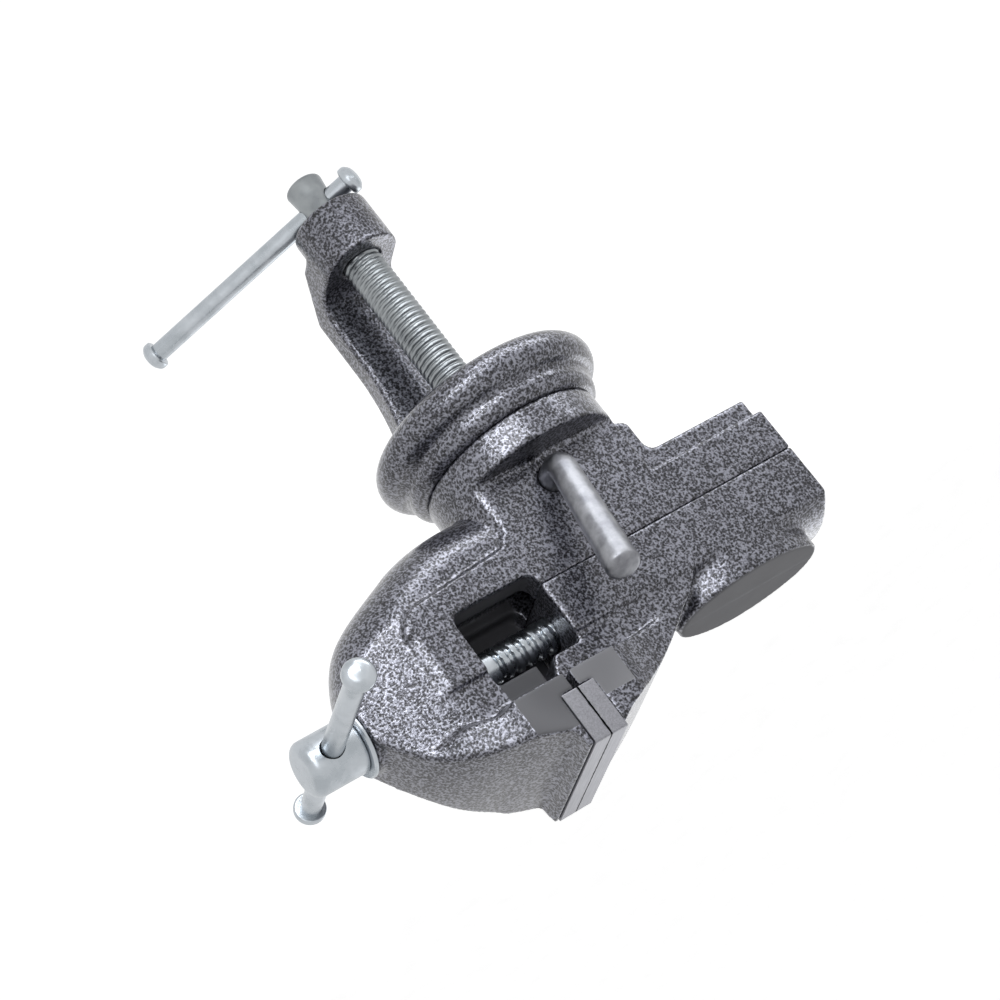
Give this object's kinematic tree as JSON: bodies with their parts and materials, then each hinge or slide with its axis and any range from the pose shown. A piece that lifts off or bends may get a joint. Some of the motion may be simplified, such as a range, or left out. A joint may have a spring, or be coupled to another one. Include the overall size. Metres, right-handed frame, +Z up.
{
  "type": "bench vise",
  "caption": "Clamp-on swivel bench vise with anvil, screw-driven sliding jaw, sliding T-handles, lock lever and C-clamp foot with pad.",
  "frame": {"origin": "swivel axis at the underside of the clamp flange, which is the top face of the bench", "axes": "+Z up along the swivel axis, +Y from the screw handle towards the anvil, X across the jaws; the bench edge slides in from -X"},
  "size_m": [0.1203, 0.2076, 0.243],
  "materials": {
    "hammertone_paint": "hammertone paint over cast iron",
    "machined_steel": "milled and ground",
    "bright_zinc": "bright zinc plating"
  },
  "bodies": {
    "clamp": {"clamp_frame": "hammertone_paint"},
    "clamp_pad_body": {"clamp_pad": "bright_zinc"},
    "clamp_screw_body": {"clamp_screw": "bright_zinc"},
    "clamp_handle": {"clamp_handle_bar": "bright_zinc", "clamp_handle_short_cap": "bright_zinc", "clamp_handle_long_cap": "bright_zinc"},
    "vise": {"vise_body": "hammertone_paint", "fixed_jaw_plate": "machined_steel", "fixed_jaw_screws": "bright_zinc"},
    "jaw": {"moving_jaw": "hammertone_paint", "moving_jaw_plate": "machined_steel", "moving_jaw_screws": "bright_zinc", "slide_keeper": "machined_steel", "slide_keeper_screws": "bright_zinc"},
    "screw": {"main_screw": "bright_zinc", "main_screw_washer": "bright_zinc", "main_screw_ring": "bright_zinc"},
    "main_handle": {"main_handle_bar": "bright_zinc", "main_handle_near_cap": "bright_zinc", "main_handle_far_cap": "bright_zinc"},
    "lever": {"lock_lever": "bright_zinc"}
  },
  "joints": [
    {"name": "clamp_feed", "type": "slide", "parent": "clamp", "child": "clamp_pad_body", "axis": [0, 0, -1], "range_m": [0, 0.0551]},
    {"name": "clamp_screw_turn", "type": "hinge", "parent": "clamp_pad_body", "child": "clamp_screw_body", "pos_m": [0, 0, 0], "axis": [0, 0, 1], "range_deg": [-8608.7, 0]},
    {"name": "clamp_handle_slide", "type": "slide", "parent": "clamp_screw_body", "child": "clamp_handle", "axis": [0.6074, -0.7944, 0], "range_m": [-0.072, 0.006]},
    {"name": "swivel", "type": "hinge", "parent": "clamp", "child": "vise", "pos_m": [0, 0, 0.022], "axis": [0, 0, 1], "continuous": true},
    {"name": "jaw_slide", "type": "slide", "parent": "vise", "child": "jaw", "axis": [0, 1, 0], "range_m": [0, 0.055]},
    {"name": "main_screw_turn", "type": "hinge", "parent": "vise", "child": "screw", "pos_m": [0, -0.1175, 0.0855], "axis": [0, 1, 0], "range_deg": [-4401, 0]},
    {"name": "main_handle_slide", "type": "slide", "parent": "screw", "child": "main_handle", "axis": [0.9993, 0, -0.0384], "range_m": [-0.0288, 0.0515]},
    {"name": "lock_turn", "type": "hinge", "parent": "vise", "child": "lever", "pos_m": [0, -0.0025, 0.044], "axis": [1, 0, 0], "range_deg": [-90, 60]}
  ],
  "couplings": [
    {"joint": "clamp_feed", "follows": "clamp_screw_turn", "m_per_rad": -0.00036606},
    {"joint": "main_screw_turn", "follows": "jaw_slide", "rad_per_m": -1396.3}
  ]
}
